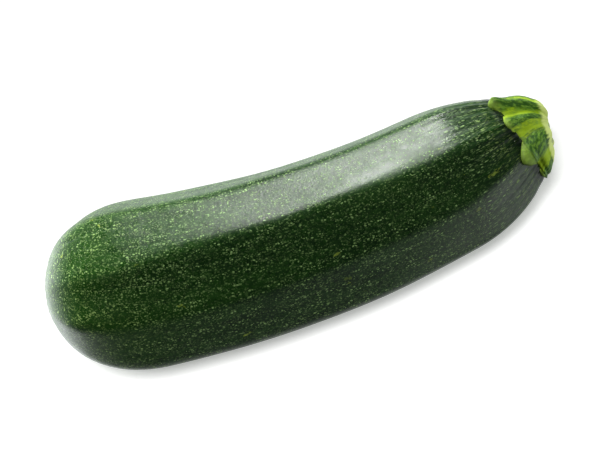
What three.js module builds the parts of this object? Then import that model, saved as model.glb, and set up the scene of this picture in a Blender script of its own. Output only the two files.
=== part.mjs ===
import * as THREE from 'three';

// A courgette, picked and lying on one of its flat sides. Millimetres, +Z up.
// The fruit is a gently bent club with eight soft ridges, slightly twisted: fullest near the
// blossom end (-X), slimmer towards the stem (+X), where its shoulder rolls in under the stem.
// The stem is a short stub with five strong and five weak ribs, cut across its end.
// The origin is on the surface it lies on, under the middle of its bounding box.

// The fruit
const FRUIT_LENGTH = 165;
const BEND_RADIUS = 253;
const MID_RADIUS = 26.75;
const TAPER = 0.034;
const TIP_LENGTH = 32.3;
const SHOULDER_FROM = 135.5;
const SHOULDER_LENGTH = 39.3;

// The blossom end lifts off the surface a little
const NOSE_LIFT = 2.8;
const NOSE_FROM = 40;

// The end of the fruit turns out of the bend and lifts a little towards the stem
const NECK_YAW = THREE.MathUtils.degToRad(-10.9);
const NECK_PITCH = THREE.MathUtils.degToRad(14.2);

// The middles of the eight flat sides, in degrees from straight up, turning to the outside
// of the bend. The one at 180 is the side it lies on. The upper sides turn by TWIST from the
// middle of the length to each end.
const SIDE_MIDDLES = [5, 42.5, 90, 133.5, 180, 226, 274, 322.5];
const TWIST = THREE.MathUtils.degToRad(-4);
const SIDE_DISTANCE = 0.965;
const RIDGE_SHARPNESS = 26;
const REST_DEPTH = 0.25;
const REST_FROM = 38;

// The stem
const STEM_LENGTH = 10.9;
const STEM_YAW = THREE.MathUtils.degToRad(-13);
const CUT_YAW = THREE.MathUtils.degToRad(-11);
const FOOT_RADIUS = 15.2;
const CUT_RADIUS = 9.2;
const STEM_BULGE = 2.5;
const STRONG_RIBS = 5;
const STRONG_RIB_DEPTH = 0.035;
const WEAK_RIB_DEPTH = 0.03;
const FIRST_RIB = THREE.MathUtils.degToRad(-10);
const SEAT_GAP = 0.3;

// How finely the surfaces are divided
const FRUIT_SIDES = 72;
const TIP_RINGS = 11;
const BODY_RINGS = 24;
const STEM_SIDES = 80;
const STEM_RINGS = 6;
const SPINE_STEPS = 48;

const SKIN = new THREE.MeshStandardMaterial({ color: 0x2c4a1c, roughness: 0.38, metalness: 0 });
const STEM_SKIN = new THREE.MeshStandardMaterial({ color: 0x6f8f2a, roughness: 0.6, metalness: 0 });

// The unit vectors of a cross-section whose plane faces along a yaw and a pitch:
// forward is square to it, side points out of the bend, up is the upper side.
function sectionAxes(yaw, pitch) {
  const forward = new THREE.Vector3(
    Math.cos(yaw) * Math.cos(pitch),
    Math.sin(yaw) * Math.cos(pitch),
    Math.sin(pitch),
  );
  const side = new THREE.Vector3(Math.sin(yaw), -Math.cos(yaw), 0);
  const up = new THREE.Vector3().crossVectors(side, forward);
  return { forward, side, up };
}

// Where the fruit points, s mm along it from the blossom end
function fruitYaw(s) {
  const bend = (s - FRUIT_LENGTH / 2) / BEND_RADIUS;
  return bend + NECK_YAW * THREE.MathUtils.smoothstep(s, SHOULDER_FROM, FRUIT_LENGTH);
}

function fruitPitch(s) {
  return NECK_PITCH * THREE.MathUtils.smoothstep(s, SHOULDER_FROM, FRUIT_LENGTH);
}

// The radius over the ridges: a slight taper, with an elliptical roll-off at each end
function fruitRadius(s) {
  const body = MID_RADIUS + TAPER * (FRUIT_LENGTH / 2 - s);
  const tip = THREE.MathUtils.clamp(1 - s / TIP_LENGTH, 0, 1);
  const shoulder = THREE.MathUtils.clamp((s - SHOULDER_FROM) / SHOULDER_LENGTH, 0, 1);
  return body * Math.sqrt(1 - tip * tip) * Math.sqrt(1 - shoulder * shoulder);
}

// A cross-section's outline for a radius of 1: an octagon with rounded corners
function octagon(angle) {
  let sum = 0;
  for (const middle of SIDE_MIDDLES) {
    const facing = Math.cos(angle - THREE.MathUtils.degToRad(middle));
    sum += (Math.max(facing, 0) / SIDE_DISTANCE) ** RIDGE_SHARPNESS;
  }
  return sum ** (-1 / RIDGE_SHARPNESS);
}

// The middle of the cross-section at s: the heading summed up from the middle of the length,
// at the height that lays the underside flat on the surface.
function fruitCentre(s) {
  const centre = new THREE.Vector3();
  const step = (s - FRUIT_LENGTH / 2) / SPINE_STEPS;
  for (let i = 0; i < SPINE_STEPS; i++) {
    const at = FRUIT_LENGTH / 2 + (i + 0.5) * step;
    centre.addScaledVector(sectionAxes(fruitYaw(at), fruitPitch(at)).forward, step);
  }
  const lying = THREE.MathUtils.clamp(s, REST_FROM, SHOULDER_FROM);
  centre.z += fruitRadius(lying) * SIDE_DISTANCE - REST_DEPTH;
  centre.z += NOSE_LIFT * (1 - THREE.MathUtils.smoothstep(s, 0, NOSE_FROM));
  return centre;
}

// One ring of points about a centre, its radius a function of the angle from up to side
function ring(centre, axes, count, radiusAt) {
  const points = [];
  for (let i = 0; i < count; i++) {
    const angle = (i / count) * 2 * Math.PI;
    const point = centre.clone();
    point.addScaledVector(axes.side, radiusAt(angle) * Math.sin(angle));
    point.addScaledVector(axes.up, radiusAt(angle) * Math.cos(angle));
    points.push(point);
  }
  return points;
}

// A closed body skinned over rings of equal count, with a point to close each end
function loft(startPoint, rings, endPoint) {
  const points = [startPoint, ...rings.flat(), endPoint];
  const count = rings[0].length;
  const last = points.length - 1;
  const triangles = [];
  for (let i = 0; i < count; i++) {
    const next = (i + 1) % count;
    triangles.push(0, 1 + next, 1 + i);
    for (let r = 0; r < rings.length - 1; r++) {
      const low = 1 + r * count;
      const high = low + count;
      triangles.push(low + i, low + next, high + i);
      triangles.push(low + next, high + next, high + i);
    }
    triangles.push(last, last - count + i, last - count + next);
  }
  const geometry = new THREE.BufferGeometry().setFromPoints(points);
  geometry.setIndex(triangles);
  geometry.computeVertexNormals();
  return geometry;
}

// How far the sides are turned at s: fully on top, and not at all where the fruit lies
function twist(s, angle) {
  return TWIST * ((2 * s) / FRUIT_LENGTH - 1) * (0.5 + 0.5 * Math.cos(angle));
}

function fruitRing(s) {
  const axes = sectionAxes(fruitYaw(s), fruitPitch(s));
  const radiusAt = (angle) => fruitRadius(s) * octagon(angle - twist(s, angle));
  const points = ring(fruitCentre(s), axes, FRUIT_SIDES, radiusAt);
  // Nothing sinks below the surface that it lies on
  for (const point of points) {
    point.z = Math.max(point.z, 0);
  }
  return points;
}

// The rings crowd together towards the blossom end, where the surface turns fastest
function makeFruit() {
  const rings = [];
  for (let i = 1; i <= TIP_RINGS; i++) {
    rings.push(fruitRing(TIP_LENGTH * (1 - Math.cos((Math.PI / 2) * (i / TIP_RINGS)))));
  }
  for (let i = 1; i <= BODY_RINGS; i++) {
    rings.push(fruitRing(TIP_LENGTH + (FRUIT_LENGTH - TIP_LENGTH) * (i / BODY_RINGS)));
  }
  const fruit = new THREE.Mesh(loft(fruitCentre(0), rings, fruitCentre(FRUIT_LENGTH)), SKIN);
  fruit.name = 'fruit';
  return fruit;
}

// The stem's outline, t of the way from its foot to the cut: ribs on a bulging taper
function stemRadius(t, angle) {
  const taper = CUT_RADIUS + (FOOT_RADIUS - CUT_RADIUS) * (1 - t ** STEM_BULGE);
  const strong = STRONG_RIB_DEPTH * Math.cos(STRONG_RIBS * (angle - FIRST_RIB));
  const weak = WEAK_RIB_DEPTH * Math.cos(2 * STRONG_RIBS * (angle - FIRST_RIB));
  return taper * (1 + strong + weak);
}

function makeStem() {
  const seat = sectionAxes(fruitYaw(FRUIT_LENGTH), fruitPitch(FRUIT_LENGTH));
  const foot = fruitCentre(FRUIT_LENGTH).addScaledVector(seat.forward, SEAT_GAP);
  const along = sectionAxes(STEM_YAW, 0).forward;
  const rings = [];
  for (let i = 0; i <= STEM_RINGS; i++) {
    const t = i / STEM_RINGS;
    const yaw = THREE.MathUtils.lerp(fruitYaw(FRUIT_LENGTH), CUT_YAW, t);
    const pitch = THREE.MathUtils.lerp(fruitPitch(FRUIT_LENGTH), 0, t);
    const centre = foot.clone().addScaledVector(along, STEM_LENGTH * t);
    rings.push(ring(centre, sectionAxes(yaw, pitch), STEM_SIDES, (a) => stemRadius(t, a)));
  }
  const end = foot.clone().addScaledVector(along, STEM_LENGTH);
  const stem = new THREE.Mesh(loft(foot, rings, end), STEM_SKIN);
  stem.name = 'stem';
  return stem;
}

const courgette = new THREE.Group();
const lying = new THREE.Group();
lying.add(makeFruit(), makeStem());
courgette.add(lying);

const middle = new THREE.Box3().setFromObject(lying).getCenter(new THREE.Vector3());
lying.position.set(-middle.x, -middle.y, 0);

export default courgette;
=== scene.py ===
import math

import bpy
import numpy as np
from mathutils import Matrix, Vector


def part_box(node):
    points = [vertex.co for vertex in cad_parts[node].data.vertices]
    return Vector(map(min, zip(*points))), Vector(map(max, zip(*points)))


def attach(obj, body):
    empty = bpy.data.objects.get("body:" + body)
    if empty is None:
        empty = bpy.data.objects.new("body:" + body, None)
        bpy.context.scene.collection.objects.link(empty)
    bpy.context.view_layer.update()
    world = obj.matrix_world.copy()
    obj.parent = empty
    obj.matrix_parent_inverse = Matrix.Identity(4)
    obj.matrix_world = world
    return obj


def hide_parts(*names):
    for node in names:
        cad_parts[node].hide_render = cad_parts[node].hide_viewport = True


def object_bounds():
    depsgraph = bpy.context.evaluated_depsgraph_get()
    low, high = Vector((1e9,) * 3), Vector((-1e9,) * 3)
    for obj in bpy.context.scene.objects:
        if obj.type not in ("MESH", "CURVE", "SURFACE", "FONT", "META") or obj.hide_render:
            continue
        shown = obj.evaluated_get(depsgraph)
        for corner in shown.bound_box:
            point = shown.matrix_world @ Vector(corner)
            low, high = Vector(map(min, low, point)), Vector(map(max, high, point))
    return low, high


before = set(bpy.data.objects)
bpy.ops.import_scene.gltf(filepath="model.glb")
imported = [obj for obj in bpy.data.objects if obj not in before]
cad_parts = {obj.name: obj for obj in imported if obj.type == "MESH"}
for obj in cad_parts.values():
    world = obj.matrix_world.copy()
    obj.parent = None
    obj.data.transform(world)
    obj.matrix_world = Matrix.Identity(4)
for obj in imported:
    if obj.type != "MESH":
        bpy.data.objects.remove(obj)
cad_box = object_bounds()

# ---- The fruit -------------------------------------------------------------------------
# One body of firm flesh in a thin waxy skin, grown in one piece: a gently bent club with
# eight soft ridges, slightly twisted, fullest near the blossom end and rolled in under the
# stem at the other. It lies on one of its flat sides. Metres and radians.

FRUIT_LENGTH = 0.165
BEND_RADIUS = 0.253
MID_RADIUS = 0.02675
TAPER = 0.034
TIP_LENGTH = 0.0380
TIP_FULLNESS = 2.5
SHOULDER_FROM = 0.1355
SHOULDER_LENGTH = 0.0393

# The blossom end lifts a little, and the other end turns out of the bend and lifts
NOSE_LIFT = 0.0028
NOSE_FROM = 0.040
NECK_YAW = math.radians(-10.9)
NECK_PITCH = math.radians(14.2)

# The middles of the eight flat sides, turning from straight up to the outside of the bend.
# The one at 180 degrees is the side it lies on. The ridges between them fade at the very tip.
SIDE_MIDDLES = np.radians([5, 42.5, 90, 133.5, 180, 226, 274, 322.5])
SIDE_DISTANCE = 0.965
RIDGE_SHARPNESS = 29
RIDGES_AT_TIP = 0.25
RIDGES_FULL_FROM = 0.014
REST_DEPTH = 0.00025
REST_FROM = 0.038

# The upper sides turn by TWIST from the middle of the length to each end, and the upper front
# ridge swerves forward at both ends
TWIST = math.radians(-4)
FRONT_RIDGE = math.radians(24)
SWERVE_WIDTH = 0.35
TIP_SWERVE = math.radians(7.5)
TIP_SWERVE_FADE = (0.025, 0.050)
NECK_SWERVE = math.radians(5.5)
NECK_SWERVE_RISE = (0.100, 0.135)


def ease(x, start, stop):
    """0 before start, 1 after stop, and smooth between."""
    t = np.clip((x - start) / (stop - start), 0, 1)
    return t * t * (3 - 2 * t)


def hump(x, middle, width):
    """1 at the middle, falling smoothly to nothing about two widths away."""
    return np.exp(-(((x - middle) / width) ** 2))


def fruit_yaw(s):
    """Where the fruit points, s along it from the blossom end."""
    return (s - FRUIT_LENGTH / 2) / BEND_RADIUS + NECK_YAW * ease(s, SHOULDER_FROM, FRUIT_LENGTH)


def fruit_pitch(s):
    """How steeply the fruit climbs at s."""
    return NECK_PITCH * ease(s, SHOULDER_FROM, FRUIT_LENGTH)


def section_axes(yaw, pitch):
    """The directions of cross-sections: forward along the fruit, side out of the bend, up."""
    yaw, pitch = np.broadcast_arrays(yaw, pitch)
    level = np.zeros_like(yaw, dtype=float)
    forward = np.stack([np.cos(yaw) * np.cos(pitch), np.sin(yaw) * np.cos(pitch), np.sin(pitch)], -1)
    side = np.stack([np.sin(yaw), -np.cos(yaw), level], -1)
    return forward, side, np.cross(side, forward)


def fruit_radius(s):
    """The radius over the ridges: a slight taper, rolled off at each end."""
    body = MID_RADIUS + TAPER * (FRUIT_LENGTH / 2 - s)
    tip = np.clip(1 - s / TIP_LENGTH, 0, 1)
    shoulder = np.clip((s - SHOULDER_FROM) / SHOULDER_LENGTH, 0, 1)
    return body * np.sqrt(1 - tip**TIP_FULLNESS) * np.sqrt(1 - shoulder**2)


def octagon(s, angle):
    """A cross-section's outline for a radius of 1: eight flat sides with rounded ridges, that
    turn with the twist on top and not at all where the fruit lies."""
    turn = TWIST * (2 * s / FRUIT_LENGTH - 1) * (0.5 + 0.5 * np.cos(angle))
    swerve = TIP_SWERVE * (1 - ease(s, *TIP_SWERVE_FADE)) + NECK_SWERVE * ease(s, *NECK_SWERVE_RISE)
    turn = turn + swerve * hump(angle, FRONT_RIDGE, SWERVE_WIDTH)
    facing = np.cos((angle - turn)[..., None] - SIDE_MIDDLES)
    share = (np.clip(facing, 0, None) / SIDE_DISTANCE) ** RIDGE_SHARPNESS
    outline = share.sum(-1) ** (-1 / RIDGE_SHARPNESS)
    return 1 + (outline - 1) * (RIDGES_AT_TIP + (1 - RIDGES_AT_TIP) * ease(s, 0, RIDGES_FULL_FROM))


# The spine: the heading summed up along the fruit, from the middle of its length
SPINE_POINTS = 1321
SPINE_AT = np.linspace(0, FRUIT_LENGTH, SPINE_POINTS)
SPINE_FORWARD = section_axes(fruit_yaw(SPINE_AT), fruit_pitch(SPINE_AT))[0]
SPINE_STEPS = (SPINE_FORWARD[1:] + SPINE_FORWARD[:-1]) / 2 * (SPINE_AT[1] - SPINE_AT[0])
SPINE = np.concatenate([np.zeros((1, 3)), np.cumsum(SPINE_STEPS, axis=0)])
SPINE -= SPINE[SPINE_POINTS // 2]


def fruit_centre(s):
    """The middle of the cross-section at s, at the height that lays the underside flat."""
    centre = np.stack([np.interp(s, SPINE_AT, SPINE[:, k]) for k in range(3)], -1)
    lying = np.clip(s, REST_FROM, SHOULDER_FROM)
    centre[..., 2] += fruit_radius(lying) * SIDE_DISTANCE - REST_DEPTH
    centre[..., 2] += NOSE_LIFT * (1 - ease(s, 0, NOSE_FROM))
    return centre


def spun(centre, axes, radius, angle):
    """Points at a radius and an angle from up towards side, about centres on the spine."""
    sideways = np.sin(angle)[..., None] * axes[1]
    upwards = np.cos(angle)[..., None] * axes[2]
    return centre + radius[..., None] * (sideways + upwards)


# The rings of the surface crowd together towards the blossom end, where it turns fastest
FRUIT_AROUND = 320
TIP_RINGS = 80
BODY_RINGS = 216
around = np.arange(FRUIT_AROUND) / FRUIT_AROUND * 2 * math.pi
tip_at = TIP_LENGTH * (1 - np.cos(np.linspace(0, math.pi / 2, TIP_RINGS + 1)[1:]))
body_at = np.linspace(TIP_LENGTH, FRUIT_LENGTH, BODY_RINGS + 1)[1:]
S, A = np.meshgrid(np.concatenate([tip_at, body_at]), around, indexing="ij")

# The sides aren't quite flat nor the ridges quite straight: long and short waves, in radians a
# metre along the fruit and in turns around it, make shallow hollows
HOLLOW_DEPTH = 0.00020
HOLLOWS_FROM, HOLLOWS_FULL = 0.002, 0.020
long_waves = np.cos(61 * S + 3 * np.sin(A) + 1.1) * np.cos(3 * A + 25 * S)
short_waves = np.cos(118 * S - 2 * np.cos(A)) * np.cos(5 * A - 40 * S + 0.7)
hollows = HOLLOW_DEPTH * (long_waves + 0.6 * short_waves) * ease(S, HOLLOWS_FROM, HOLLOWS_FULL)

# Fine flutes run up the shoulder to the stem, gone a few centimetres down, and no two alike
FLUTES = 46
FLUTE_DEPTH = 0.00016
FLUTES_FROM, FLUTES_FULL = 0.130, 0.160
flute_shape = np.cos(FLUTES * A + 1.2 * np.sin(3 * A)) * (0.65 + 0.35 * np.cos(7 * A + 2))
flutes = FLUTE_DEPTH * flute_shape * ease(S, FLUTES_FROM, FLUTES_FULL)

# A shallow groove runs round the stem's feet, and small puckers in and round the blossom scar
GROOVE_DEPTH = 0.00018
GROOVE_WIDTH = 0.0014
GROOVE_BELOW_SEAT = 0.0034
PUCKERS = 24
PUCKER_DEPTH = 0.00012
PUCKERS_FULL, PUCKERS_GONE = 0.0006, 0.0060
groove = GROOVE_DEPTH * hump(S, FRUIT_LENGTH - GROOVE_BELOW_SEAT, GROOVE_WIDTH)
puckers = PUCKER_DEPTH * np.cos(PUCKERS * A + np.sin(5 * A)) * (1 - ease(S, PUCKERS_FULL, PUCKERS_GONE))
relief = hollows + flutes - groove + puckers

# The blossom scar, where the flower dropped off: a shallow dish with a raised rim and a nub
SCAR_RADIUS = 0.0046
SCAR_DEPTH = 0.0009
SCAR_RIM_HEIGHT = 0.00025
SCAR_NUB_HEIGHT = 0.0005
from_pole = fruit_radius(S) / SCAR_RADIUS
dish = SCAR_DEPTH * (1 - ease(from_pole, 0.55, 1.0))
rim = SCAR_RIM_HEIGHT * hump(from_pole, 1.15, 0.18)
nub = SCAR_NUB_HEIGHT * hump(from_pole, 0, 0.25)

fruit_axes = section_axes(fruit_yaw(S), fruit_pitch(S))
fruit_points = spun(fruit_centre(S), fruit_axes, fruit_radius(S) * octagon(S, A) + relief, A)
fruit_points += (dish - rim - nub)[..., None] * fruit_axes[0]
fruit_points[..., 2] = np.clip(fruit_points[..., 2], 0, None)

# The skin goes over the CAD fruit, their middles together and both on the floor
cad_low, cad_high = (np.array(corner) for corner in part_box("fruit"))
drawn_low = fruit_points.min((0, 1))
drawn_high = fruit_points.max((0, 1))
placing = (cad_low + cad_high - drawn_low - drawn_high) / 2
placing[2] = 0


def skinned(name, rings, start, end):
    """A closed mesh over rings of points, with one point to close each end."""
    count, turns = rings.shape[:2]
    points = np.concatenate([[start], rings.reshape(-1, 3), [end]])
    ids = 1 + np.arange(count * turns).reshape(count, turns)
    after = np.roll(ids, -1, axis=1)
    walls = np.stack([ids[:-1], after[:-1], after[1:], ids[1:]], -1).reshape(-1, 4)
    first = np.stack([np.zeros(turns, int), after[0], ids[0]], -1)
    last = np.stack([np.full(turns, len(points) - 1), ids[-1], after[-1]], -1)
    mesh = bpy.data.meshes.new(name)
    mesh.from_pydata(points.tolist(), [], [*first.tolist(), *walls.tolist(), *last.tolist()])
    mesh.polygons.foreach_set("use_smooth", [True] * len(mesh.polygons))
    mesh.update()
    piece = bpy.data.objects.new(name, mesh)
    bpy.context.scene.collection.objects.link(piece)
    return piece


def note(piece, name, values, start, end):
    """Keeps a number or a vector for every point of a skinned piece, for its material."""
    wide = values.ndim == 3
    kind = "FLOAT_VECTOR" if wide else "FLOAT"
    whole = np.concatenate([np.ravel(start), np.ravel(values), np.ravel(end)])
    attribute = piece.data.attributes.new(name, kind, "POINT")
    attribute.data.foreach_set("vector" if wide else "value", whole.astype(np.float32))


pole = fruit_centre(np.array(0.0)) + (SCAR_DEPTH - SCAR_NUB_HEIGHT) * SPINE_FORWARD[0]
seat = fruit_centre(np.array(FRUIT_LENGTH))
fruit = skinned("courgette_fruit", fruit_points + placing, pole + placing, seat + placing)

# The skin's own coordinates: the fruit straightened out, so that what grew lengthwise runs
# lengthwise. Flecks draw out into dashes where the shoulder narrows to the stem.
FLECK_BARREL = 0.025
DASHES_FROM = 0.140
DASH_STRETCH = 0.6
stretch = S - DASH_STRETCH * np.clip(S - DASHES_FROM, 0, None)
narrow = np.where(S < TIP_LENGTH, fruit_radius(S) / fruit_radius(np.array(TIP_LENGTH)), 1)
barrel = narrow * FLECK_BARREL
straight = np.stack([stretch, barrel * np.sin(A), barrel * np.cos(A)], -1)
note(fruit, "straight", straight, [0, 0, 0], [stretch[-1, 0], 0, 0])

# What else the skin needs to know: how near to the scar, the stem and the blossom end, and
# where the crease round the stem's feet gets its painted shade
CREASE_SHADE_WIDTH = 0.0015
CREASE_SHADE_BELOW_SEAT = 0.0012
note(fruit, "scar", 1 - ease(from_pole, 0.75, 1.1), [1], [0])
note(fruit, "scar_edge", hump(from_pole, 1.25, 0.5), [0], [0])
note(fruit, "shoulder", ease(S, DASHES_FROM, FRUIT_LENGTH), [0], [1])
note(fruit, "blossom_end", 1 - ease(S, 0.015, 0.075), [1], [0])
note(fruit, "crease_shade", hump(S, FRUIT_LENGTH - CREASE_SHADE_BELOW_SEAT, CREASE_SHADE_WIDTH), [0], [0])


def add(tree, kind, inputs=None, **settings):
    """A shader node, its settings made and its inputs given a value or joined to an output."""
    node = tree.nodes.new("ShaderNode" + kind)
    for name, value in settings.items():
        setattr(node, name, value)
    for name, value in (inputs or {}).items():
        if isinstance(value, bpy.types.NodeSocket):
            tree.links.new(value, node.inputs[name])
        else:
            node.inputs[name].default_value = value
    return node


def noted(tree, name, output="Fac"):
    """What note() kept under a name."""
    return add(tree, "Attribute", attribute_name=name).outputs[output]


def ramp(tree, value, low, high, to_low=0.0, to_high=1.0):
    """value brought from low..high to to_low..to_high, smoothly."""
    inputs = {"Value": value, "From Min": low, "From Max": high, "To Min": to_low, "To Max": to_high}
    return add(tree, "MapRange", inputs, interpolation_type="SMOOTHSTEP").outputs["Result"]


def plus(tree, first, second):
    """first + second."""
    return add(tree, "Math", {0: first, 1: second}, operation="ADD").outputs[0]


def times(tree, first, second):
    """first x second."""
    return add(tree, "Math", {0: first, 1: second}, operation="MULTIPLY").outputs[0]


def blend(tree, share, first, second):
    """first and second colours mixed by share."""
    inputs = {0: share, 6: first, 7: second}
    return add(tree, "Mix", inputs, data_type="RGBA").outputs[2]


def scaled(tree, vector, factors):
    """A vector with each of its three numbers multiplied by its own factor."""
    return add(tree, "VectorMath", {0: vector, 1: factors}, operation="MULTIPLY").outputs[0]


def noise(tree, place, size, detail=2.0, roughness=0.5, output="Fac"):
    """Soft noise with features about size metres across."""
    inputs = {"Vector": place, "Scale": 1 / size, "Detail": detail, "Roughness": roughness}
    return add(tree, "TexNoise", inputs).outputs[output]


def strayed(tree, place, wander, distance):
    """place, shifted by up to a distance along each axis by the colours of a noise."""
    shift = scaled(tree, wander, (distance, distance, distance))
    return add(tree, "VectorMath", {0: place, 1: shift}, operation="ADD").outputs[0]


def spots(tree, place, spacing, smallest, biggest, edge):
    """Round spots, one to a cell: how deep inside a spot, and the cell's own random number."""
    cells = add(tree, "TexVoronoi", {"Vector": place, "Scale": 1 / spacing, "Randomness": 1.0})
    luck = add(tree, "SeparateColor", {"Color": cells.outputs["Color"]})
    size = ramp(tree, luck.outputs["Red"], 0.0, 1.0, smallest, biggest)
    inside = add(tree, "Math", {0: size, 1: cells.outputs["Distance"]}, operation="SUBTRACT").outputs[0]
    return ramp(tree, inside, 0.0, edge), luck.outputs["Green"]


def new_material(name):
    """A material, its node tree and its surface shader."""
    material = bpy.data.materials.new(name)
    material.use_nodes = True
    return material, material.node_tree, material.node_tree.nodes["Principled BSDF"]


# Skin colours: deep green ground, mottled paler, with pale yellow-green flecks
DEEP_GREEN = (0.0065, 0.033, 0.005, 1)
# painted shade for the crease round the stem's feet, not a colour of the skin itself
CREASE_SHADE_GREEN = (0.003, 0.016, 0.003, 1)
LEAF_GREEN = (0.023, 0.090, 0.011, 1)
FLECK = (0.48, 0.76, 0.26, 1)
YELLOW_FLECK = (0.46, 0.62, 0.09, 1)
SCAR_CORK = (0.20, 0.155, 0.085, 1)
SCAR_DARK = (0.085, 0.060, 0.035, 1)
SCAR_PALE = (0.30, 0.36, 0.16, 1)

# The sizes of its pattern: how wide things are or how far apart, and how far they stray
STREAK_WIDTH = 0.0030
MOTTLE_SIZE = 0.0010
PATCH_SIZE = 0.022
ROW_WIDTH = 0.0013
FLECK_SPACING = 0.00062
FAINT_SPACING = 0.00040
BLOTCH_SPACING = 0.0045
WANDER_SIZE = 0.0015
FLECKS_STRAY = 0.0006
BLOTCHES_STRAY = 0.002
SCAR_GRAIN_SIZE = 0.0007
PORE_SIZE = 0.0008
PORE_HEIGHT = 0.00008
WAX_PATCH_SIZE = 0.004
WAX_IOR = 1.45

skin, tree, surface = new_material("courgette_skin")
place = noted(tree, "straight", "Vector")
lengthwise = scaled(tree, place, (0.12, 1, 1))
shoulder = noted(tree, "shoulder")
blossom_end = noted(tree, "blossom_end")
scar = noted(tree, "scar")

# The ground: streaks along the fruit, a fine mottle and broad paler patches
streaks = noise(tree, lengthwise, STREAK_WIDTH, detail=3)
mottle = noise(tree, scaled(tree, place, (0.7, 1, 1)), MOTTLE_SIZE, detail=3, roughness=0.65)
patches = noise(tree, scaled(tree, place, (0.4, 1, 1)), PATCH_SIZE, detail=2)
paleness = plus(tree, times(tree, streaks, 0.4), times(tree, mottle, 0.7))
paleness = plus(tree, paleness, times(tree, blossom_end, 0.07))
paleness = plus(tree, paleness, times(tree, patches, 0.3))
ground = blend(tree, ramp(tree, paleness, 0.52, 0.90), DEEP_GREEN, LEAF_GREEN)

# The flecks: bright ones, with faint small ones between them, in loose lengthwise rows
wander = noise(tree, place, WANDER_SIZE, detail=1.0, output="Color")
rows = ramp(tree, noise(tree, lengthwise, ROW_WIDTH, detail=1), 0.38, 0.60, 0.35, 1.0)
fleck_place = strayed(tree, scaled(tree, place, (0.65, 1, 1)), wander, FLECKS_STRAY)
bright, bright_luck = spots(tree, fleck_place, FLECK_SPACING, 0.15, 0.41, edge=0.05)
bright = times(tree, bright, ramp(tree, bright_luck, 0.1, 0.9, 0.30, 1.0))
bright = times(tree, bright, rows)
faint, faint_luck = spots(tree, fleck_place, FAINT_SPACING, 0.28, 0.55, edge=0.14)
faint = times(tree, faint, ramp(tree, faint_luck, 0.0, 1.0, 0.06, 0.34))
faint = times(tree, faint, plus(tree, rows, 0.2))
faint = times(tree, faint, plus(tree, times(tree, blossom_end, 0.6), 1.0))
flecks = add(tree, "Math", {0: bright, 1: faint}, operation="MAXIMUM").outputs[0]

# Here and there flecks run together into a small yellower blotch
blotch_place = strayed(tree, scaled(tree, place, (0.55, 1, 1)), wander, BLOTCHES_STRAY)
blotches, blotch_luck = spots(tree, blotch_place, BLOTCH_SPACING, 0.08, 0.20, edge=0.05)
blotches = times(tree, blotches, ramp(tree, blotch_luck, 0.64, 0.68))
blotches = times(tree, blotches, ramp(tree, mottle, 0.44, 0.56))

# Flecks are yellower in some patches, on the shoulder and a little at the blossom end
yellowness = plus(tree, blotches, times(tree, patches, 0.5))
yellowness = plus(tree, yellowness, times(tree, shoulder, 0.4))
yellowness = plus(tree, yellowness, times(tree, blossom_end, 0.15))
fleck_colour = blend(tree, ramp(tree, yellowness, 0.25, 0.9), FLECK, YELLOW_FLECK)
colour = blend(tree, flecks, ground, fleck_colour)
colour = blend(tree, times(tree, blotches, 0.8), colour, YELLOW_FLECK)

# Painted shade: the skin is darkened in the crease round the stem's feet, where the feet shade it
colour = blend(tree, times(tree, noted(tree, "crease_shade"), 0.9), colour, CREASE_SHADE_GREEN)

# The blossom scar is dry cork with a pale edge
scar_grain = noise(tree, place, SCAR_GRAIN_SIZE, detail=4)
colour = blend(tree, times(tree, noted(tree, "scar_edge"), 0.55), colour, SCAR_PALE)
colour = blend(tree, scar, colour, blend(tree, scar_grain, SCAR_DARK, SCAR_CORK))
tree.links.new(colour, surface.inputs["Base Color"])

# Wax: satin in patches, a little duller over the flecks and dull on the scar
dullness = ramp(tree, noise(tree, place, WAX_PATCH_SIZE, detail=3), 0.3, 0.7, 0.24, 0.33)
dullness = plus(tree, dullness, times(tree, flecks, 0.06))
dullness = plus(tree, dullness, times(tree, scar, 0.4))
tree.links.new(dullness, surface.inputs["Roughness"])
surface.inputs["IOR"].default_value = WAX_IOR

# Pores, flecks and streaks all stand up very slightly
pores = plus(tree, noise(tree, place, PORE_SIZE, detail=2), times(tree, flecks, 0.5))
pores = plus(tree, pores, times(tree, streaks, 0.8))
grain = add(tree, "Bump", {"Height": pores, "Distance": PORE_HEIGHT, "Strength": 0.7})
tree.links.new(grain.outputs["Normal"], surface.inputs["Normal"])

fruit.data.materials.append(skin)
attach(fruit, "root")
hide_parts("fruit")

# ---- The stem --------------------------------------------------------------------------
# The stub of the stem that the fruit hung by: fibrous, with five strong and five weak ribs
# whose swollen feet spread over the fruit's shoulder. It was cut straight across, and the
# edge of the cut has dried into a pale rim round paler, slightly sunken flesh.

STEM_LENGTH = 0.0109
STEM_YAW = math.radians(-13)
CUT_YAW = math.radians(-11)
FOOT_RADIUS = 0.0158
CUT_RADIUS = 0.0084
STEM_BULGE = 3.2
STRONG_RIBS = 5
FIRST_RIB = math.radians(-10)
RIB_HEIGHT = 0.0040
VALLEY_DEPTH = 0.0024
FIBRES = 61
FIBRE_HEIGHT = 0.00006

STEM_AROUND = 384
FOOT_RINGS = 18
WALL_RINGS = 64
CUT_RINGS = 30
stem_around = np.arange(STEM_AROUND) / STEM_AROUND * 2 * math.pi

# crown is about 1 on top of a strong rib, 0.6 on a weak one and 0 in the valleys. The ribs are
# a little unevenly spaced, and no two stand quite as high.
rib_wave = STRONG_RIBS * (stem_around - FIRST_RIB) + 0.25 * np.sin(2 * stem_around + 0.6)
strong = 0.5 + 0.5 * np.cos(rib_wave)
crown = (0.5 + 0.5 * np.cos(2 * rib_wave)) ** 0.85 * (0.60 + 0.40 * strong)
crown *= 0.93 + 0.07 * np.cos(3 * stem_around + 1)

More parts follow.
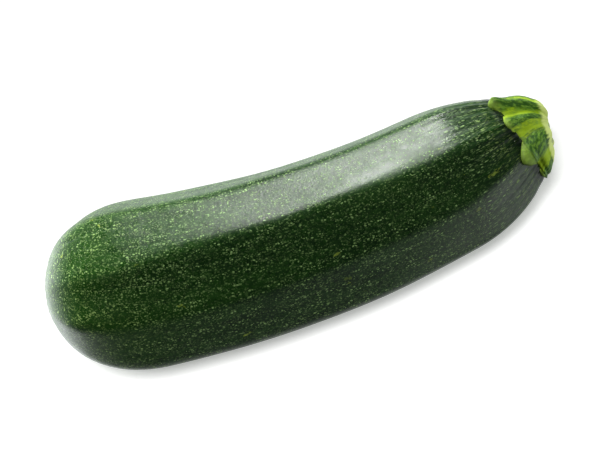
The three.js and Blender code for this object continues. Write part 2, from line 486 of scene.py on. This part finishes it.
# The rib low on the front and the one at the back are weaker, and the low side draws in
# towards the cut
LOW_RIB = math.radians(134)
LOW_SIDE_DRAWN_IN = 0.0018
BACK_RIB = math.radians(-50)
low_side = hump(stem_around, LOW_RIB, 0.5)
from_back = np.angle(np.exp(1j * (stem_around - BACK_RIB)))
crown *= 1 - 0.60 * low_side - 0.55 * hump(from_back, 0, 0.42)

# The front ribs spread at the foot, and draw together with the uppermost one towards the cut
UPPERMOST_RIB = math.radians(-10)
FRONT_RIB = math.radians(62)
FOOT_SPREAD = 0.16
TOP_DRAWN = 0.19
FRONT_DRAWN = 0.26


def leaning(t, angle):
    """Where each line up the stem stands at t, given the angle it would have if it ran straight."""
    at_foot = FOOT_SPREAD * hump(angle, FRONT_RIB + 0.3, 0.5)
    from_top = TOP_DRAWN * hump(angle, UPPERMOST_RIB, 0.38)
    from_front = FRONT_DRAWN * hump(angle, FRONT_RIB - 0.25, 0.6)
    return angle + at_foot * (1 - t) + (from_top - from_front) * t


def about_top(angle):
    """Angles beyond three quarters of a turn, counted back from straight up instead."""
    return np.where(angle > math.pi * 1.5, angle - 2 * math.pi, angle)


# Small knobs stand on the ribs just above the seat. The rim of the cut flares and then rounds
# over, and the strong ribs overhang it a little.
KNOB_HEIGHT = 0.0011
KNOBS_AT = 0.05
KNOB_LENGTH = 0.14
RIM_FLARE = 0.0007
FLARE_FROM, FLARE_FULL = 0.74, 0.90
RIM_ROUND = 0.0007
ROUND_FROM = 0.93
RIB_OVERHANG = 0.0009


def stem_wall(t):
    """The stem's radius at every angle, t of the way from its foot to the cut."""
    taper = CUT_RADIUS + (FOOT_RADIUS - CUT_RADIUS) * (1 - t**STEM_BULGE)
    valley = VALLEY_DEPTH * (0.55 + 0.45 * ease(t, 0, 0.3))
    ribs = (RIB_HEIGHT * crown - valley) * (1 - 0.5 * t)
    knobs = KNOB_HEIGHT * crown * hump(t, KNOBS_AT, KNOB_LENGTH)
    over_edge = np.clip((t - ROUND_FROM) / (1 - ROUND_FROM), 0, 1)
    rim = RIM_FLARE * ease(t, FLARE_FROM, FLARE_FULL) - RIM_ROUND * (1 - np.sqrt(1 - over_edge**2))
    fibres = FIBRE_HEIGHT * np.cos(FIBRES * stem_around + 2.5 * np.sin(5 * t + 3 * stem_around))
    return taper + ribs + knobs + rim + fibres - LOW_SIDE_DRAWN_IN * low_side * t


seat_at = np.array(FRUIT_LENGTH)
stem_forward = section_axes(np.array(STEM_YAW), np.array(0.0))[0]

# The wall from the seat to the cut, its cross-sections turning from the one to the other
t_wall, wall_angle = np.meshgrid(np.linspace(0, 1, WALL_RINGS + 1), stem_around, indexing="ij")
wall_yaw = fruit_yaw(seat_at) + (CUT_YAW - fruit_yaw(seat_at)) * t_wall
wall_axes = section_axes(wall_yaw, fruit_pitch(seat_at) * (1 - t_wall))
wall_at = STEM_LENGTH * t_wall + RIB_OVERHANG * (crown - 0.5) * t_wall**2
wall_centre = seat + wall_at[..., None] * stem_forward
wall_radius = stem_wall(t_wall)
wall_points = spun(wall_centre, wall_axes, wall_radius, leaning(t_wall, about_top(wall_angle)))

# The feet of the ribs, from their edge on the shoulder up to the seat: they reach furthest at
# the front, and swell there. Between the ribs the foot's edge is hidden in the shoulder.
FOOT_REACH = 0.0027
FURTHEST_REACH = math.radians(26)
FRONT_FOOT_REACH = 0.85
SWELLING = 1.6 * KNOB_HEIGHT
EDGE_HIDDEN = 0.0007
climb, foot_angle = np.meshgrid(np.linspace(0, 1, FOOT_RINGS + 1)[:-1], stem_around, indexing="ij")
climb = climb**1.5
foot_angle = leaning(0.0, about_top(foot_angle))
reach = FOOT_REACH * crown * (0.6 + 0.4 * np.cos(foot_angle - FURTHEST_REACH))
reach *= 1 + FRONT_FOOT_REACH * hump(foot_angle, FRONT_RIB + 0.1, 0.3)
foot_at = FRUIT_LENGTH - reach * (1 - climb)
shoulder_radius = fruit_radius(foot_at) * octagon(foot_at, foot_angle)
seat_radius = fruit_radius(seat_at) * octagon(seat_at, foot_angle[0])
swelling = SWELLING * ease(crown, 0.33, 0.65) * np.sqrt(1 - (1 - climb) ** 2) * (1 - climb)
swelling *= ease(foot_angle, -0.55, 0.10)
foot_radius = shoulder_radius + (wall_radius[0] - seat_radius) * climb + swelling
foot_radius[0] -= EDGE_HIDDEN
foot_axes = section_axes(fruit_yaw(foot_at), fruit_pitch(foot_at))
foot_points = spun(fruit_centre(foot_at), foot_axes, foot_radius, foot_angle)

# The cut face, sunken inside its rim, with a ring of small fibre bundles
CUT_DEPTH = 0.0011
BUNDLES = 20
BUNDLE_HEIGHT = 0.00025
BUNDLE_RING = 0.66
BUNDLE_WIDTH = 0.08
inward = np.linspace(1, 0.04, CUT_RINGS + 1)[1:, None]
bundles = hump(inward, BUNDLE_RING, BUNDLE_WIDTH) * (0.5 + 0.5 * np.cos(BUNDLES * stem_around))
sink = CUT_DEPTH * ease(1 - inward, 0.08, 0.45) - BUNDLE_HEIGHT * bundles
cut_centre = wall_centre[-1].mean(0)
cut_forward = wall_axes[0][-1, 0]
cut_points = cut_centre + (wall_points[-1] - cut_centre) * inward[..., None] - sink[..., None] * cut_forward

stem_points = np.concatenate([foot_points, wall_points, cut_points])
stem_end = cut_centre - sink[-1, 0] * cut_forward
stem = skinned("courgette_stem", stem_points + placing, seat + placing, stem_end + placing)

# What the stem's material needs to know: the stem's own straight coordinates, how far up it is,
# how much on a dark rib and how deep in the cut
STEM_BARREL = 0.012
up_stem = np.concatenate([-0.25 * (1 - climb), t_wall, np.ones_like(sink)])
into_cut = np.zeros_like(up_stem)
into_cut[-CUT_RINGS:] = 1 - inward
angle_all = np.broadcast_to(stem_around, up_stem.shape)
barrel = STEM_BARREL * (1 - into_cut)
straight = np.stack([up_stem * STEM_LENGTH, barrel * np.sin(angle_all), barrel * np.cos(angle_all)], -1)
on_strong = np.exp(-1.1 * (1 - np.cos(rib_wave)))
on_weak = np.exp(-3.2 * (1 + np.cos(rib_wave)))
note(stem, "straight", straight, [0, 0, 0], [STEM_LENGTH, 0, 0])
note(stem, "up_stem", up_stem, [-0.3], [1])
note(stem, "dark_rib", np.broadcast_to(on_strong + 0.8 * on_weak, up_stem.shape), [0], [0])
note(stem, "into_cut", into_cut, [0], [1])

# Stem colours: dark ribs, bright yellow-green valleys, paler feet and rim, pale cut flesh
RIB_GREEN = (0.028, 0.092, 0.008, 1)
RIB_LIGHT = (0.15, 0.30, 0.03, 1)
VALLEY_GREEN = (0.33, 0.50, 0.018, 1)
FOOT_PALE = (0.36, 0.52, 0.07, 1)
RIM_PALE = (0.60, 0.72, 0.19, 1)
CUT_FLESH = (0.42, 0.50, 0.20, 1)
CUT_BUNDLE = (0.26, 0.36, 0.10, 1)
FIBRE_WIDTH = 0.0009
SPECKLE_SIZE = 0.0007
RIND_RELIEF = 0.0004

rind, tree, surface = new_material("courgette_stem_rind")
place = noted(tree, "straight", "Vector")
height = noted(tree, "up_stem")
depth = noted(tree, "into_cut")
fibres = noise(tree, scaled(tree, place, (0.2, 1, 1)), FIBRE_WIDTH, detail=3, roughness=0.6)
speckle = noise(tree, scaled(tree, place, (0.6, 1, 1)), SPECKLE_SIZE, detail=3, roughness=0.65)

# One colour runs into the next along ragged edges
ragged = plus(tree, times(tree, fibres, 0.7), times(tree, speckle, 0.5))
ragged = plus(tree, ragged, -0.6)
on_rib = ramp(tree, plus(tree, noted(tree, "dark_rib"), times(tree, ragged, 1.2)), 0.36, 0.66)
rib = blend(tree, ramp(tree, speckle, 0.42, 0.66), RIB_GREEN, RIB_LIGHT)
colour = blend(tree, on_rib, VALLEY_GREEN, rib)
foot_share = ramp(tree, plus(tree, height, times(tree, ragged, 0.4)), 0.12, -0.12, 0.0, 0.45)
colour = blend(tree, foot_share, colour, FOOT_PALE)
rim_share = ramp(tree, plus(tree, height, times(tree, ragged, 0.25)), 0.80, 0.90)
colour = blend(tree, rim_share, colour, RIM_PALE)
flesh = blend(tree, ramp(tree, speckle, 0.45, 0.7), CUT_FLESH, CUT_BUNDLE)
colour = blend(tree, ramp(tree, depth, 0.03, 0.16), colour, flesh)
tree.links.new(colour, surface.inputs["Base Color"])

# The rind is dry and dull, its fibres standing up
dullness = ramp(tree, speckle, 0.3, 0.7, 0.42, 0.62)
tree.links.new(dullness, surface.inputs["Roughness"])
surface.inputs["Specular IOR Level"].default_value = 0.3
standing = plus(tree, fibres, times(tree, speckle, 0.5))
grain = add(tree, "Bump", {"Height": standing, "Distance": RIND_RELIEF, "Strength": 0.7})
tree.links.new(grain.outputs["Normal"], surface.inputs["Normal"])

stem.data.materials.append(rind)
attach(stem, "root")
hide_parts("stem")

# ---- The studio ------------------------------------------------------------------------
# A sheet of plain white paper under the courgette, soft lights round it and pale surroundings,
# none of it part of the courgette. The paper glows a little, so that it is white all over. It
# isn't mirrored and blocks no light: two dim lights below it stand for its glow instead.

middle = (Vector(cad_box[0]) + Vector(cad_box[1])) / 2
FLOOR_HALF = 4.0
FLOOR_WHITE = 0.8
FLOOR_GLOW = 0.42
corners = [(x * FLOOR_HALF, y * FLOOR_HALF, 0) for x, y in ((-1, -1), (1, -1), (1, 1), (-1, 1))]
floor_mesh = bpy.data.meshes.new("floor")
floor_mesh.from_pydata(corners, [], [(0, 1, 2, 3)])
floor = bpy.data.objects.new("floor", floor_mesh)
bpy.context.scene.collection.objects.link(floor)
paper, tree, surface = new_material("white_paper")
surface.inputs["Base Color"].default_value = (FLOOR_WHITE, FLOOR_WHITE, FLOOR_WHITE, 1)
surface.inputs["Roughness"].default_value = 0.9
surface.inputs["Specular IOR Level"].default_value = 0.0
surface.inputs["Emission Color"].default_value = (1, 1, 1, 1)
surface.inputs["Emission Strength"].default_value = FLOOR_GLOW
floor.data.materials.append(paper)
floor.visible_diffuse = False
floor.visible_glossy = False
floor.visible_shadow = False


def softbox(name, offset, width, height, radiance, lights_up, gloss=True, colour=True):
    """A rectangular soft light that faces the courgette from an offset and lights only the
    given pieces: their gloss, their own colour, or both."""
    lamp = bpy.data.lights.new(name, "AREA")
    lamp.shape = "RECTANGLE"
    lamp.size = width
    lamp.size_y = height
    lamp.energy = radiance * math.pi * width * height
    box = bpy.data.objects.new(name, lamp)
    box.location = middle + Vector(offset)
    box.rotation_euler = (-Vector(offset)).to_track_quat("-Z", "Y").to_euler()
    bpy.context.scene.collection.objects.link(box)
    lit = bpy.data.collections.new(name + "_lights")
    for piece in lights_up:
        lit.objects.link(piece)
    box.light_linking.receiver_collection = lit
    box.visible_glossy = gloss
    box.visible_diffuse = colour


# The long shine on the upper side, and a brighter one where it ends on the neck
softbox("shine", (0.205, 0.700, 0.870), 0.28, 0.66, 7.5, [fruit, stem], colour=False)
softbox("neck_shine", (0.255, 0.620, 0.930), 0.12, 0.70, 22.5, [fruit], colour=False)

# The broad light from behind on the left that shows the skin's colour, and a weak one in front
softbox("side", (-0.45, 0.95, 0.80), 0.90, 0.50, 21.5, [fruit, stem], gloss=False)
softbox("front", (-0.70, -0.45, 0.95), 0.60, 0.60, 3.3, [fruit], gloss=False)

# The pale floor's glow, mirrored in the lower sides
softbox("floor_glow", (0.65, -0.50, -0.60), 0.70, 0.80, 0.5, [fruit, stem], colour=False)
softbox("floor_glow_left", (-0.25, 0.00, -0.80), 0.70, 1.10, 0.30, [fruit], colour=False)

# The stem's own fills, from above and onto the cut, and the paper's light, which throws the
# soft shadow
softbox("stem_fill", (-0.45, -0.20, 1.00), 0.50, 0.50, 7.0, [stem])
softbox("cut_fill", (0.90, -0.30, 0.50), 0.50, 0.50, 6.0, [stem], gloss=False)
softbox("paper_light", (-0.22, -1.42, 2.20), 0.70, 0.70, 49.0, [floor])

# The surroundings are bright low down behind, on the right and behind on the left, and dim below
world = bpy.data.worlds.new("studio")
world.use_nodes = True
bpy.context.scene.world = world
tree = world.node_tree
toward = add(tree, "SeparateXYZ", {0: add(tree, "TexCoord").outputs["Generated"]}).outputs
low = ramp(tree, toward["Z"], 0.45, 0.05)
behind = times(tree, times(tree, ramp(tree, toward["Y"], 0.3, 0.9), low), 0.7)
behind = times(tree, behind, ramp(tree, toward["X"], -0.5, 0.5, 0.42, 1.4))
right = times(tree, times(tree, ramp(tree, toward["X"], 0.45, 0.9), low), 0.7)
left = times(tree, ramp(tree, toward["X"], -0.1, -0.6), ramp(tree, toward["Y"], -0.1, 0.5))
left = times(tree, times(tree, left, low), 2.5)
below = ramp(tree, toward["Z"], 0.1, -0.5, 0.03, 0.15)
below = times(tree, below, ramp(tree, toward["X"], -0.6, 0.7, 0.5, 2.0))
backdrop = tree.nodes["Background"]
backdrop.inputs["Color"].default_value = (0.95, 1.0, 1.0, 1)
around_it = plus(tree, plus(tree, behind, right), plus(tree, left, below))
tree.links.new(around_it, backdrop.inputs["Strength"])

# The camera looks down at 45 degrees along +Y, turned so that the stem points up and right.
# Its lens and sensor are in millimetres.
CAMERA_LENS = 120
CAMERA_SENSOR = 36
CAMERA_DISTANCE = 0.6622
CAMERA_DOWN = math.radians(45)
CAMERA_ROLL = math.radians(-19.75)
CAMERA_AIM = Vector((-0.00187, 0.00681, -0.00430))
camera = bpy.data.objects.new("camera", bpy.data.cameras.new("camera"))
camera.data.lens = CAMERA_LENS
camera.data.sensor_width = CAMERA_SENSOR
backward = Vector((0, -math.cos(CAMERA_DOWN), math.sin(CAMERA_DOWN)))
across = Vector((1, 0, 0))
turn = Matrix.Rotation(CAMERA_ROLL, 3, backward)
axes = Matrix((turn @ across, turn @ backward.cross(across), backward)).transposed()
camera.matrix_world = Matrix.Translation(middle + CAMERA_AIM + CAMERA_DISTANCE * backward) @ axes.to_4x4()
bpy.context.scene.collection.objects.link(camera)
bpy.context.scene.camera = camera
bpy.context.scene.view_settings.view_transform = "Standard"

bpy.context.view_layer.update()
